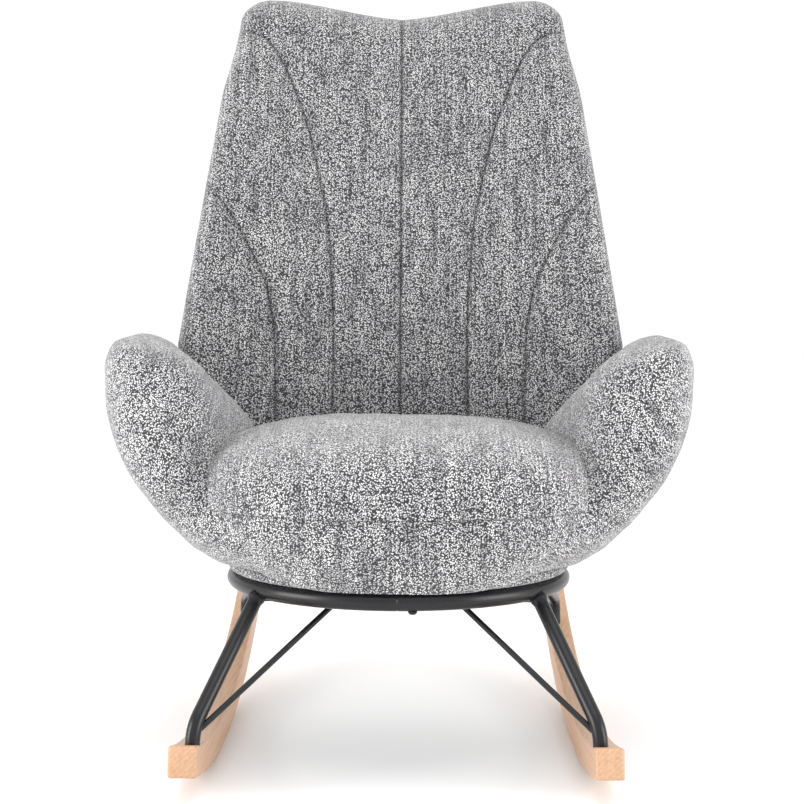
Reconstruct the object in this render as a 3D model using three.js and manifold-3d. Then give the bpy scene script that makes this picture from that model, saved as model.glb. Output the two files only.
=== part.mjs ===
// Upholstered rocking chair: tall channelled back, petal arms, domed seat,
// round steel underframe and two bent-wood rockers.
// Millimetres. +Z is up, the sitter faces -Y and +X is on the left of a person sitting in the chair.
// The origin is on the floor, under the middle of the chair's overall box.

import * as THREE from 'three';
import { mergeVertices } from 'three/addons/utils/BufferGeometryUtils.js';
import Module from 'manifold-3d';

const wasm = await Module();
wasm.setup();

// ---------- driving dimensions ----------

const gap = 0.3; // clearance between pieces that touch

const ring = { radius: 205, tube: 10.5, wall: 1.6, height: 220, jointGap: 0.6, steps: 48 };
const leg = { tube: 8.75, wall: 1.6, jointDegrees: 53.5, bendReach: 12 };
const frontFoot = { x: 233, y: -236, bendZ: 80 };
const rearFoot = { x: 227.5, y: 403, bendZ: 120 };
const crossBar = { tube: 7, z: 213 };
const braceRod = { tube: 3.5, barX: 66, legZ: 71 };

const rocker = {
  radius: 1444,
  lowestY: 31,
  frontY: -276,
  rearY: 566,
  thickness: 35.6,
  width: 32.7,
  frontX: 240.5, // centre of the front end
  toeIn: 0.0087, // sideways run per millimetre towards the back
  restLength: 104, // flat stretch that carries the chair at rest
  segments: 9, // facets on each side of the flat stretch
  edge: 2.5,
};

const plug = { radius: leg.tube - leg.wall - 2 * gap, length: 8 };
const rockerBolt = { shaft: 3, headRadius: 6, headHeight: 5, length: 41, recess: 9 };
const seatBolt = { shaft: 3, headRadius: 5.5, headHeight: 3.4, length: 33 };
const seatBoltDegrees = [5, 150, 210]; // round the ring, from the front
const insert = { radius: 4.8, length: 11 }; // threaded inserts in the seat board

const seatBoard = { radius: 212, thickness: 12, bottomZ: 231.2 };
const dustCover = { radius: 190, thickness: 0.9 };
const cushion = { halfWidth: 247, front: -252, rear: 122, bottomZ: 232, topZ: 424 };
const back = {
  lowY: 152, // front face behind the cushion
  bottomZ: 246,
  dipZ: 962, // middle of the top edge
  lobeZ: 991, // the two lobes of the top edge
  padThickness: 42,
  boardThickness: 7,
  boardInset: 26,
  boardRoom: 1,
  coverThickness: 16,
  wrap: 42, // how far the sides come forward of the middle
};
const arm = { frontLow: -196, frontTop: -96, rear: 182 };
const strap = { width: 30, thickness: 4 };

// ---------- finishes ----------

const finish = (color, roughness, metalness) => new THREE.MeshStandardMaterial({ color, roughness, metalness });
const fabric = finish(0x8f8f90, 0.95, 0);
const lining = finish(0x26262a, 0.95, 0);
const blackSteel = finish(0x1f2022, 0.45, 0.5);
const zincSteel = finish(0x9a9ca0, 0.4, 0.9);
const beech = finish(0xdcb48c, 0.55, 0);
const plywood = finish(0xc9a274, 0.7, 0);

// ---------- shared geometry helpers ----------

const point = (x, y, z) => new THREE.Vector3(x, y, z);
const radians = THREE.MathUtils.degToRad;
const lerp = THREE.MathUtils.lerp;
const smooth = THREE.MathUtils.smoothstep;

// Only the shared corner positions, which is what a solid needs.
function bare(geometry) {
  const copy = geometry.clone();
  for (const name of Object.keys(copy.attributes)) {
    if (name !== 'position') copy.deleteAttribute(name);
  }
  return mergeVertices(copy, 1e-4);
}

function toSolid(geometry) {
  const merged = bare(geometry);
  return new wasm.Manifold(new wasm.Mesh({
    numProp: 3,
    vertProperties: new Float32Array(merged.attributes.position.array),
    triVerts: new Uint32Array(merged.index.array),
  }));
}

function toGeometry(solid) {
  const mesh = solid.getMesh();
  const geometry = new THREE.BufferGeometry();
  geometry.setAttribute('position', new THREE.BufferAttribute(new Float32Array(mesh.vertProperties), 3));
  geometry.setIndex(new THREE.BufferAttribute(new Uint32Array(mesh.triVerts), 1));
  return geometry;
}

// Turns the faces of a closed geometry outwards.
function facingOut(geometry) {
  const place = geometry.attributes.position;
  const index = geometry.index.array;
  const corner = (i) => new THREE.Vector3().fromBufferAttribute(place, index[i]);
  let volume = 0;
  for (let i = 0; i < index.length; i += 3) volume += corner(i).dot(corner(i + 1).cross(corner(i + 2)));
  if (volume < 0) index.reverse();
  return geometry;
}

// The same shape with every corner pushed out along its normal.
function grown(geometry, distance) {
  const merged = bare(geometry);
  merged.computeVertexNormals();
  const place = merged.attributes.position;
  const normal = merged.attributes.normal;
  for (let i = 0; i < place.count; i += 1) {
    place.setXYZ(
      i,
      place.getX(i) + normal.getX(i) * distance,
      place.getY(i) + normal.getY(i) * distance,
      place.getZ(i) + normal.getZ(i) * distance,
    );
  }
  return merged;
}

// What is left of a piece once its neighbours are taken away: the largest remaining body.
function cut(geometry, tools) {
  let solid = toSolid(geometry);
  for (const tool of tools) solid = solid.subtract(toSolid(tool));
  const bodies = solid.decompose();
  bodies.sort((a, b) => b.volume() - a.volume());
  return toGeometry(bodies[0]);
}

// Triangles over one end of a loft: a fan round a new middle point.
function fanEnd(corners, first, count) {
  const middle = point(0, 0, 0);
  for (let i = 0; i < count; i += 1) middle.add(corners[first + i]);
  const hub = corners.push(middle.divideScalar(count)) - 1;
  return Array.from({ length: count }, (_, i) => [first + i, first + ((i + 1) % count), hub]).flat();
}

// The same for a flat, bent end, whose points run out along one face and home along the other.
function bandEnd(corners, first, count) {
  return Array.from({ length: count / 2 - 1 }, (_, i) => {
    const a = first + i;
    const b = first + count - 1 - i;
    return [a, a + 1, b - 1, a, b - 1, b];
  }).flat();
}

// A closed skin over rings of equal point count.
function loft(rings, closeEnd = fanEnd) {
  const count = rings[0].length;
  const corners = rings.flat();
  const index = [];
  for (let r = 0; r < rings.length - 1; r += 1) {
    for (let i = 0; i < count; i += 1) {
      const a = r * count + i;
      const b = r * count + ((i + 1) % count);
      index.push(a, b, b + count, a, b + count, a + count);
    }
  }
  index.push(...closeEnd(corners, 0, count).reverse());
  index.push(...closeEnd(corners, (rings.length - 1) * count, count));
  const geometry = new THREE.BufferGeometry().setFromPoints(corners);
  geometry.setIndex(index);
  return facingOut(geometry);
}

function circleShape(outer, inner) {
  const shape = new THREE.Shape().absarc(0, 0, outer, 0, 2 * Math.PI);
  if (inner > 0) shape.holes.push(new THREE.Path().absarc(0, 0, inner, 0, 2 * Math.PI, true));
  return shape;
}

function sweep(path, outer, inner, steps, sides) {
  return new THREE.ExtrudeGeometry(circleShape(outer, inner), {
    steps,
    curveSegments: sides / 2, // a full circle takes two divisions for each
    extrudePath: path,
  });
}

function cylinder(radius, bottom, top, x, y, sides = 20) {
  const geometry = new THREE.CylinderGeometry(radius, radius, top - bottom, sides);
  return geometry.rotateX(Math.PI / 2).translate(x, y, (top + bottom) / 2);
}

const mirrored = (geometry) => facingOut(bare(geometry.clone().scale(-1, 1, 1)));

// A power curve that is 1 in the middle and 0 at the ends, for crowned sections.
const crown = (t, power) => (1 - Math.abs(t) ** power) ** (1 / power);

function superellipse(angle, power) {
  const c = Math.cos(angle);
  const s = Math.sin(angle);
  return [Math.sign(c) * Math.abs(c) ** (2 / power), Math.sign(s) * Math.abs(s) ** (2 / power)];
}

// ---------- steel underframe ----------

class RingPath extends THREE.Curve {
  constructor(from, to) {
    super();
    this.from = from;
    this.to = to;
  }

  getPoint(t) {
    const angle = lerp(this.from, this.to, t);
    return point(ring.radius * Math.sin(angle), -ring.radius * Math.cos(angle), ring.height);
  }
}

const onRing = (degrees) => new RingPath(radians(degrees), 0).getPoint(0);

function hoop() {
  const half = ring.jointGap / 2 / ring.radius;
  const path = new RingPath(half, 2 * Math.PI - half);
  const tube = sweep(path, ring.tube, ring.tube - ring.wall, ring.steps, 14);
  const holes = seatBoltDegrees.map((degrees) => {
    const { x, y } = onRing(degrees);
    return cylinder(seatBolt.shaft + gap, ring.height - 20, ring.height + 20, x, y, 12);
  });
  return cut(tube, holes);
}

const hoopSpace = () => new THREE.TorusGeometry(ring.radius, ring.tube + 2 * gap, 16, ring.steps)
  .translate(0, 0, ring.height);

// A straight fall from the ring, one bend, then upright into the rocker.
function legPath(jointDegrees, foot, side) {
  const top = onRing(side * jointDegrees);
  const bend = point(side * foot.x, foot.y, foot.bendZ);
  const floor = point(side * foot.x, foot.y, 20);
  const before = bend.clone().lerp(top, leg.bendReach / bend.distanceTo(top));
  const after = bend.clone().lerp(floor, leg.bendReach / bend.distanceTo(floor));
  const path = new THREE.CurvePath();
  path.add(new THREE.LineCurve3(top, before));
  path.add(new THREE.QuadraticBezierCurve3(before, bend, after));
  path.add(new THREE.LineCurve3(after, floor));
  return path;
}

function legTube(jointDegrees, foot, side, rockerSpace) {
  const tube = sweep(legPath(jointDegrees, foot, side), leg.tube, leg.tube - leg.wall, 15, 12);
  return cut(tube, [hoopSpace(), rockerSpace]);
}

function straightBar(from, to, radius, sides) {
  return sweep(new THREE.LineCurve3(from, to), radius, 0, 1, sides);
}

function crossBarTube(jointDegrees, legs) {
  const end = onRing(jointDegrees).setZ(crossBar.z);
  const bar = straightBar(end.clone().setX(-end.x), end, crossBar.tube, 12);
  return cut(bar, [hoopSpace(), ...legs.map((tube) => grown(solidLegSpace(...tube), gap))]);
}

function solidLegSpace(jointDegrees, foot, side) {
  return sweep(legPath(jointDegrees, foot, side), leg.tube, 0, 15, 12);
}

function braceRodBar(side) {
  const low = point(side * frontFoot.x, frontFoot.y, braceRod.legZ);
  const high = point(side * braceRod.barX, onRing(leg.jointDegrees).y, crossBar.z);
  const rod = straightBar(low, high, braceRod.tube, 10);
  const barEnd = onRing(leg.jointDegrees).setZ(crossBar.z);
  const bar = straightBar(barEnd.clone().setX(-barEnd.x), barEnd, crossBar.tube + gap, 12);
  return cut(rod, [bar, grown(solidLegSpace(leg.jointDegrees, frontFoot, side), gap)]);
}

// ---------- rockers ----------

const rockerX = (y) => rocker.frontX - rocker.toeIn * (y - rocker.frontY);
const arcZ = (y) => rocker.radius - Math.sqrt(rocker.radius ** 2 - (y - rocker.lowestY) ** 2);

function rockerTopZ(y) {
  const slope = Math.asin((y - rocker.lowestY) / rocker.radius);
  return arcZ(y) + rocker.thickness / Math.cos(slope);
}

// Side profile: facets along the floor arc, with one level facet in the middle, and the same arc above.
function rockerProfile(offset) {
  const half = rocker.restLength / 2;
  const under = [];
  for (let i = 0; i <= rocker.segments; i += 1) {
    under.push(lerp(rocker.frontY, rocker.lowestY - half, i / rocker.segments));
  }
  for (let i = 0; i <= rocker.segments; i += 1) {
    under.push(lerp(rocker.lowestY + half, rocker.rearY, i / rocker.segments));
  }
  const flatZ = arcZ(rocker.lowestY + half);
  const low = under.map((y) => new THREE.Vector2(y, Math.max(arcZ(y) - flatZ, 0) - offset));
  const high = under.map((y) => {
    const slope = Math.asin((y - rocker.lowestY) / rocker.radius);
    const reach = rocker.thickness + offset;
    return new THREE.Vector2(y - reach * Math.sin(slope), arcZ(y) - flatZ + reach * Math.cos(slope));
  });
  return new THREE.Shape([...low, ...high.reverse()]);
}

function rockerBlank(side, offset) {
  const bevel = offset > 0 ? 0 : rocker.edge;
  const geometry = new THREE.ExtrudeGeometry(rockerProfile(offset), {
    depth: rocker.width - 2 * bevel,
    bevelEnabled: bevel > 0,
    bevelThickness: bevel,
    bevelSize: bevel,
    bevelOffset: -bevel,
    bevelSegments: 1,
  });
  geometry.translate(0, 0, bevel - rocker.width / 2);
  const lean = -side * rocker.toeIn; // the piece is drawn along Y and slid sideways as it goes back
  const shift = side * rockerX(0);
  return geometry.applyMatrix4(new THREE.Matrix4().set(
    lean, 0, 1, shift,
    1, 0, 0, 0,
    0, 1, 0, 0,
    0, 0, 0, 1,
  ));
}

function rockerRail(side) {
  const holes = [frontFoot, rearFoot].flatMap((foot) => {
    const underZ = arcZ(foot.y);
    return [
      cylinder(rockerBolt.shaft + gap, -20, 160, side * foot.x, foot.y, 12),
      cylinder(rockerBolt.headRadius + 1, -20, underZ + rockerBolt.recess, side * foot.x, foot.y, 16),
    ];
  });
  return cut(facingOut(bare(rockerBlank(side, 0))), holes);
}

const rockerSpace = (side) => facingOut(bare(rockerBlank(side, gap)));

// Threaded plug pressed into the foot of a leg.
function legPlug(foot, side) {
  const bottom = rockerTopZ(foot.y) - 2;
  const x = side * foot.x;
  const body = cylinder(plug.radius, bottom, bottom + plug.length, x, foot.y, 14);
  const thread = cylinder(rockerBolt.shaft + gap, bottom - 5, bottom + plug.length + 5, x, foot.y, 12);
  return cut(body, [thread, rockerSpace(side)]);
}

// A head with a hexagon recess on a plain shaft, drawn head down from the origin.
function boltShape(size) {
  const head = new THREE.LatheGeometry([
    new THREE.Vector2(0, 0),
    new THREE.Vector2(size.headRadius * 0.62, 0),
    new THREE.Vector2(size.headRadius * 0.92, size.headHeight * 0.45),
    new THREE.Vector2(size.headRadius, size.headHeight),
    new THREE.Vector2(size.shaft, size.headHeight),
    new THREE.Vector2(size.shaft, size.length),
    new THREE.Vector2(0, size.length),
  ], 12).rotateX(Math.PI / 2);
  const socket = new THREE.CylinderGeometry(2.3, 2.3, 3.6, 6).rotateX(Math.PI / 2);
  return cut(facingOut(bare(head)), [socket]);
}

function rockerBoltAt(foot, side) {
  const bottom = arcZ(foot.y) + rockerBolt.recess - rockerBolt.headHeight - gap;
  return boltShape(rockerBolt).translate(side * foot.x, foot.y, bottom);
}

// ---------- seat base ----------

function seatBoardDisc() {
  const top = seatBoard.bottomZ + seatBoard.thickness;
  const disc = cylinder(seatBoard.radius, seatBoard.bottomZ, top, 0, 0, 40);
  const holes = seatBoltDegrees.map((degrees) => {
    const { x, y } = onRing(degrees);
    return cylinder(insert.radius + gap, seatBoard.bottomZ - 5, top + 5, x, y, 14);
  });
  return cut(disc, holes);
}

function insertAt(degrees) {
  const { x, y } = onRing(degrees);
  const top = seatBoard.bottomZ + seatBoard.thickness;
  const sleeve = cylinder(insert.radius, top - insert.length, top, x, y, 14);
  return cut(sleeve, [cylinder(seatBolt.shaft + gap, top - 30, top + 5, x, y, 12)]);
}

function seatBoltAt(degrees) {
  const { x, y } = onRing(degrees);
  return boltShape(seatBolt).translate(x, y, ring.height - ring.tube - seatBolt.headHeight - gap);
}

function dustCoverDisc() {
  const top = seatBoard.bottomZ - gap;
  return cylinder(dustCover.radius, top - dustCover.thickness, top, 0, 0, 40);
}

// ---------- upholstery ----------

// Plan outline of the seat cushion: a deep round front and a flatter, narrower rear.
function cushionOutline(angle, share) {
  const [sideways, along] = superellipse(angle, 2.35);
  const reach = along < 0 ? -cushion.front : cushion.rear;
  const narrowing = along > 0 ? 1 - 0.1 * along : 1;
  return [sideways * cushion.halfWidth * share * narrowing, along * reach * lerp(1, share, 0.9)];
}

// Height profile of the cushion: rounded underneath, widest a third of the way up, then a broad crown.
function cushionShape() {
  const rings = [];
  const widestZ = lerp(cushion.bottomZ, cushion.topZ, 0.42);
  const levels = [0, 0.12, 0.28, 0.5, 0.75, 1];
  for (const level of levels) {
    const z = lerp(cushion.bottomZ, widestZ, level);
    rings.push(cushionRing(z, lerp(0.885, 1, Math.sin((level * Math.PI) / 2)), 0));
  }
  for (const level of [0.25, 0.48, 0.68, 0.83, 0.93, 0.985]) {
    rings.push(cushionRing(lerp(widestZ, cushion.topZ, level), crown(level, 2.7), level));
  }
  return loft(rings);
}

function cushionRing(z, share, tilt) {
  return Array.from({ length: 28 }, (_, i) => {
    const [x, y] = cushionOutline((i / 28) * 2 * Math.PI, share);
    return point(x, y - 14 * tilt, z);
  });
}

// Front face of the back at the middle of the chair: upright behind the cushion, then leaning back.
function backMiddleY(z) {
  const above = Math.max(z - 340, 0);
  const lean = above < 120 ? 0.00075 * above ** 2 : 0.18 * (above - 60);
  return back.lowY + lean + 0.0002 * Math.max(z - 400, 0) ** 2;
}

// Half width of the back by height: narrow at the seat, widest above the arms, then a straight taper.
function backHalfWidth(z) {
  const taper = 300 - 0.143 * (z - 500);
  return z > 500 ? taper : 300 - 120 * ((500 - z) / 254) ** 1.5;
}

// The top edge: low in the middle, a lobe on each side, and a soft fall to the corners.
function backTopZ(u) {
  const lobe = Math.sin((Math.min(Math.abs(u) / 0.74, 1) * Math.PI) / 2) ** 1.4;
  const fall = Math.max(Math.abs(u) - 0.74, 0) / 0.26;
  return lerp(back.dipZ, back.lobeZ, lobe) - 24 * fall ** 2.4;
}

// One closed layer of the back between two depths behind its front face. inset draws its outline in.
function backLayer(from, to, inset, columns, rows) {
  const outline = (u, v) => {
    const top = backTopZ(u) - inset;
    const z = lerp(back.bottomZ + inset, top, v);
    const x = u * (backHalfWidth(z) - inset) * (1 - 0.09 * Math.max((v - 0.94) / 0.06, 0) ** 2);
    return [x, z];
  };
  const face = (u, v, depth) => {
    const [x, z] = outline(u, v);
    const wrapped = back.wrap * (x / backHalfWidth(z)) ** 2 * smooth(z, 240, 420);
    return point(x, backMiddleY(z) - wrapped + depth, z);
  };
  const rings = [];
  for (let r = 0; r <= rows; r += 1) {
    const v = r / rows;
    const squeeze = 0.55 + 0.45 * crown(2 * v - 1, 6);
    const row = [];
    for (let c = 0; c <= columns; c += 1) {
      const u = (2 * c) / columns - 1;
      row.push(face(u, v, edged(u, squeeze, from, to, inset)));
    }
    for (let c = columns; c >= 0; c -= 1) {
      const u = (2 * c) / columns - 1;
      row.push(face(u, v, to));
    }
    rings.push(row);
  }
  return loft(rings, bandEnd);
}

// The padding is full in the middle and pulled back at the sides.
function edged(u, squeeze, from, to, inset) {
  if (inset > 0) return from;
  return to - (to - from) * squeeze * (0.5 + 0.5 * crown(u, 5));
}

const backPadShape = () => backLayer(0, back.padThickness, 0, 14, 12);

// The stiff board between the pad and the rear cover, or with room to spare the pocket it sits in.
function backBoardShape(room) {
  const front = back.padThickness + gap - room;
  const rear = front + back.boardThickness + 2 * room;
  return backLayer(front, rear, back.boardInset - room, 10, 12);
}

// The rear cover is a shallow tray: it holds the board inside it.
function backCoverShape() {
  const front = back.padThickness + gap;
  const outer = backLayer(front, front + back.boardThickness + back.coverThickness, 0.5, 14, 12);
  return cut(outer, [backBoardShape(back.boardRoom), grown(backPadShape(), gap)]);
}

// Middle line of an arm in the front view, from the seat base up to the tip, with half its thickness.
const armLine = [
  { x: 206, z: 262, half: 26 },
  { x: 247, z: 296, half: 38 },
  { x: 277, z: 340, half: 52 },
  { x: 292, z: 390, half: 62 },
  { x: 301, z: 435, half: 66 },
  { x: 312, z: 474, half: 58 },
  { x: 322, z: 502, half: 38 },
  { x: 328, z: 517, half: 14 },
];

// A fat petal: rounded sections square to the middle line, long from front to back.
function armShape() {
  const line = new THREE.CatmullRomCurve3(armLine.map(({ x, z, half }) => point(x, half, z)));
  const rings = [];
  const steps = 12;
  for (let i = 0; i <= steps; i += 1) {
    const t = i / steps;
    const { x, y: half, z } = line.getPoint(t);
    const ahead = line.getTangent(t).setY(0).normalize();
    const front = lerp(arm.frontLow, arm.frontTop, t ** 1.3) + 60 * smooth(t, 0.86, 1.04);
    const rear = lerp(96, arm.rear, smooth(t, 0, 0.6)) - 130 * smooth(t, 0.8, 1.05);
    const middle = (front + rear) / 2;
    rings.push(Array.from({ length: 18 }, (_, k) => {
      const [across, along] = superellipse((k / 18) * 2 * Math.PI, 2.7);
      return point(
        x + across * half * ahead.z,
        middle + (along * (rear - front)) / 2,
        z - across * half * ahead.x,
      );
    }));
  }
  return loft(rings);
}

// ---------- inner straps that tie the back and arms to the seat board ----------

// A flat steel strip bent along a line of points in the side view.
function stripAlong(points, x) {
  const rings = points.map(([y, z], i) => {
    const before = points[Math.max(i - 1, 0)];
    const after = points[Math.min(i + 1, points.length - 1)];
    const along = new THREE.Vector2(after[0] - before[0], after[1] - before[1]).normalize();
    const across = strap.thickness / 2;
    return [[-1, -1], [1, -1], [1, 1], [-1, 1]].map(([s, t]) => point(
      x + (s * strap.width) / 2,
      y - t * across * along.y,
      z + t * across * along.x,
    ));
  });
  return loft(rings);
}

const strapZ = seatBoard.bottomZ + seatBoard.thickness + strap.thickness / 2 + gap;

function backStrap(side) {
  const behind = back.padThickness - 14;
  const rise = [[60, strapZ], [124, strapZ], [150, strapZ + 8]];
  for (const z of [290, 340, 400, 460, 520]) rise.push([backMiddleY(z) + behind, z]);
  return stripAlong(rise, side * 70);
}

function armStrap(side) {
  const rise = [[120, strapZ], [196, strapZ], [226, 268], [256, 304], [280, 348], [292, 400], [298, 450]];
  const strip = stripAlong(rise, 0);
  strip.rotateZ(-Math.PI / 2); // its run along Y becomes a run along X
  return side > 0 ? strip : mirrored(strip);
}

// ---------- assembly ----------

const chair = new THREE.Group();
const pieces = new THREE.Group(); // drawn with the ring's centre on the Z axis
chair.add(pieces);

function place(name, geometry, material) {
  const mesh = new THREE.Mesh(geometry, material);
  mesh.name = name;
  pieces.add(mesh);
}

const sides = [['left', 1], ['right', -1]];
const rearDegrees = 180 - leg.jointDegrees;

place('seat_ring', hoop(), blackSteel);
for (const [word, side] of sides) {
  const space = rockerSpace(side);
  place(`rocker_${word}`, rockerRail(side), beech);
  place(`front_leg_${word}`, legTube(leg.jointDegrees, frontFoot, side, space), blackSteel);
  place(`rear_leg_${word}`, legTube(rearDegrees, rearFoot, side, space), blackSteel);
  place(`brace_rod_${word}`, braceRodBar(side), blackSteel);
  for (const [end, foot] of [['front', frontFoot], ['rear', rearFoot]]) {
    place(`leg_plug_${end}_${word}`, legPlug(foot, side), zincSteel);
    place(`rocker_bolt_${end}_${word}`, rockerBoltAt(foot, side), zincSteel);
  }
}
const frontLegs = sides.map(([, side]) => [leg.jointDegrees, frontFoot, side]);
const rearLegs = sides.map(([, side]) => [rearDegrees, rearFoot, side]);
place('front_cross_bar', crossBarTube(leg.jointDegrees, frontLegs), blackSteel);
place('rear_cross_bar', crossBarTube(rearDegrees, rearLegs), blackSteel);

place('seat_board', seatBoardDisc(), plywood);
seatBoltDegrees.forEach((degrees, i) => {
  place(`seat_bolt_${i + 1}`, seatBoltAt(degrees), blackSteel);
  place(`threaded_insert_${i + 1}`, insertAt(degrees), zincSteel);
});
place('dust_cover', dustCoverDisc(), lining);

const straps = sides.flatMap(([, side]) => [backStrap(side), armStrap(side)]);
const strapSpace = straps.map((strip) => grown(strip, gap));
sides.forEach(([word], i) => {
  place(`back_strap_${word}`, straps[2 * i], zincSteel);
  place(`arm_strap_${word}`, straps[2 * i + 1], zincSteel);
});

const boardSpace = [
  cylinder(seatBoard.radius + gap, seatBoard.bottomZ - gap, seatBoard.bottomZ + seatBoard.thickness + gap, 0, 0, 40),
  hoopSpace(),
];
const backPad = cut(backPadShape(), [...boardSpace, ...strapSpace, backBoardShape(back.boardRoom)]);
const backSpace = [grown(backPadShape(), gap), grown(backCoverShape(), gap)];
const seatCushion = cut(cushionShape(), [...boardSpace, ...backSpace, ...strapSpace]);
const cushionSpace = grown(cushionShape(), gap);

place('back_pad', backPad, fabric);
place('back_board', backBoardShape(0), plywood);
place('back_cover', backCoverShape(), fabric);
place('seat_cushion', seatCushion, fabric);
const leftArm = cut(armShape(), [...boardSpace, ...backSpace, cushionSpace, ...strapSpace]);
place('arm_pad_left', leftArm, fabric);
place('arm_pad_right', mirrored(leftArm), fabric);

const overall = new THREE.Box3().setFromObject(pieces, true);
pieces.position.copy(overall.getCenter(point(0, 0, 0)).setZ(overall.min.z).negate());

export default chair;
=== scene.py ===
import bmesh
import bpy
import numpy as np
from mathutils import Matrix, Vector


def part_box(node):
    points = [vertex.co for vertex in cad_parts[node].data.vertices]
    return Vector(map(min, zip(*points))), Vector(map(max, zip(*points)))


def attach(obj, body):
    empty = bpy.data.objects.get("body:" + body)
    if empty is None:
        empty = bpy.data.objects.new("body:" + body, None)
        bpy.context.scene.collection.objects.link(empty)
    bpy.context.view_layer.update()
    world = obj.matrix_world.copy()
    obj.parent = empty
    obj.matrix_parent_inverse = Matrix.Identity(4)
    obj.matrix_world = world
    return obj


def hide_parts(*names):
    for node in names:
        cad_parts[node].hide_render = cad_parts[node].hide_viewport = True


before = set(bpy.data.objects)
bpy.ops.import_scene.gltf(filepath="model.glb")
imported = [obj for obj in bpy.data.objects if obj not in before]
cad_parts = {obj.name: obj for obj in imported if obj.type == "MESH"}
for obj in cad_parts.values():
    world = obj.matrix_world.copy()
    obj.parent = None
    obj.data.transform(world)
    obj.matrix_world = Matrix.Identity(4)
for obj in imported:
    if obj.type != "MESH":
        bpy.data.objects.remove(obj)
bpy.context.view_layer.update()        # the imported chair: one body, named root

# Shapes are worked out in metres round the seat ring's centre line, then slid to the ring's place in the frame.
ringLow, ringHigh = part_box("seat_ring")
ringPlace = (ringLow + ringHigh) / 2
ringShift = np.array([ringPlace.x, ringPlace.y, 0.0])


def smoothStep(value, low, high):  # 0 below low, 1 above high, an S curve between
    t = np.clip((value - low) / (high - low), 0, 1)
    return t * t * (3 - 2 * t)


def through(at, values, where):  # a smooth cubic through a table, its slopes taken from neighbouring entries
    at, values, where = np.asarray(at, float), np.asarray(values, float), np.asarray(where, float)
    slope = np.gradient(values, at, axis=0)
    i = np.clip(np.searchsorted(at, where, side="right") - 1, 0, len(at) - 2)
    span = at[i + 1] - at[i]
    t = np.clip((where - at[i]) / span, 0, 1)
    extra = (...,) + (None,) * (values.ndim - 1)
    t, span = t[extra], span[extra]
    a, b = values[i], values[i + 1]
    da, db = slope[i] * span, slope[i + 1] * span
    return a + t * da + t * t * (3 * (b - a) - 2 * da - db) + t ** 3 * (2 * (a - b) + da + db)


def unit(vectors):  # each vector divided by its own length
    return vectors / np.linalg.norm(vectors, axis=-1, keepdims=True)


def roundedPair(angle, power):  # a superellipse: cosine and sine drawn out towards the corners of a square
    c, s = np.cos(angle), np.sin(angle)
    return np.sign(c) * np.abs(c) ** (2 / power), np.sign(s) * np.abs(s) ** (2 / power)


def waves(x, y, z, size, seed):  # slow uneven swelling: four crossed sine waves, from -1 to 1
    rng = np.random.default_rng(seed)
    total = 0
    for _ in range(4):
        kx, ky, kz, shift = rng.normal(size=4)
        total = total + np.sin((kx * x + ky * y + kz * z) * 2 / size + shift * 6)
    return total / 4


def gridFaces(rows, columns, closedRows=False):  # quads between neighbouring rows, closed round each row
    r, c = np.meshgrid(np.arange(rows if closedRows else rows - 1), np.arange(columns), indexing="ij")
    down, across = (r + 1) % rows, (c + 1) % columns
    corners = [r * columns + c, r * columns + across, down * columns + across, down * columns + c]
    return np.stack(corners, -1).reshape(-1, 4)


def fanFaces(rows, columns):  # both end rows closed round an extra middle point each
    c = np.arange(columns)
    start = (rows - 1) * columns
    first = np.stack([(c + 1) % columns, c, np.full(columns, rows * columns)], -1)
    last = np.stack([start + c, start + (c + 1) % columns, np.full(columns, rows * columns + 1)], -1)
    return first.tolist() + last.tolist()


def zipFaces(rows, columns):  # end rows run out along one face and home along the other, closed rung by rung
    c = np.arange(columns // 2 - 1)
    start = (rows - 1) * columns
    rung = np.stack([c, c + 1, columns - 2 - c, columns - 1 - c], -1)
    return rung.tolist() + (start + rung[:, ::-1]).tolist()


def addPiece(name, grid, material, stands=(), ends="fan", crease=None, body="root"):
    # grid is rows of points, each row a closed loop; ends says how the first and last rows are closed
    rows, columns = grid.shape[:2]
    points = grid.reshape(-1, 3) + ringShift
    faces = gridFaces(rows, columns, ends == "loop").tolist()
    if ends == "fan":
        points = np.concatenate([points, np.stack([grid[0].mean(0), grid[-1].mean(0)]) + ringShift])
        faces += fanFaces(rows, columns)
    if ends == "zip":
        faces += zipFaces(rows, columns)
    mesh = bpy.data.meshes.new(name)
    mesh.from_pydata(points.tolist(), [], faces)
    if crease is not None:  # painted seam shade: how deep in a seam each point lies, from 0 to 1
        marks = np.pad(crease.ravel(), (0, len(points) - crease.size)).astype(np.float32)
        mesh.attributes.new("crease", "FLOAT", "POINT").data.foreach_set("value", marks)
    tidyMesh(mesh)
    mesh.polygons.foreach_set("use_smooth", np.ones(len(mesh.polygons), bool))
    mesh.materials.append(material)
    piece = bpy.data.objects.new(name, mesh)
    bpy.context.scene.collection.objects.link(piece)
    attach(piece, body)
    if stands:
        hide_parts(*stands)
    return piece


def tidyMesh(mesh):  # joins doubled points, drops flat faces and turns every face outwards
    work = bmesh.new()
    work.from_mesh(mesh)
    bmesh.ops.remove_doubles(work, verts=work.verts, dist=2e-6)
    bmesh.ops.dissolve_degenerate(work, edges=work.edges, dist=1e-7)
    bmesh.ops.recalc_face_normals(work, faces=work.faces)
    work.to_mesh(mesh)
    work.free()


press = {  # the coarse mesh that the stuffing is tried on
    "rows": 64, "columns": 72, "force": 4.0, "frames": 20,
    "skip": 3,  # rows left out at each end; the movement fades out over twice as many
}


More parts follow.
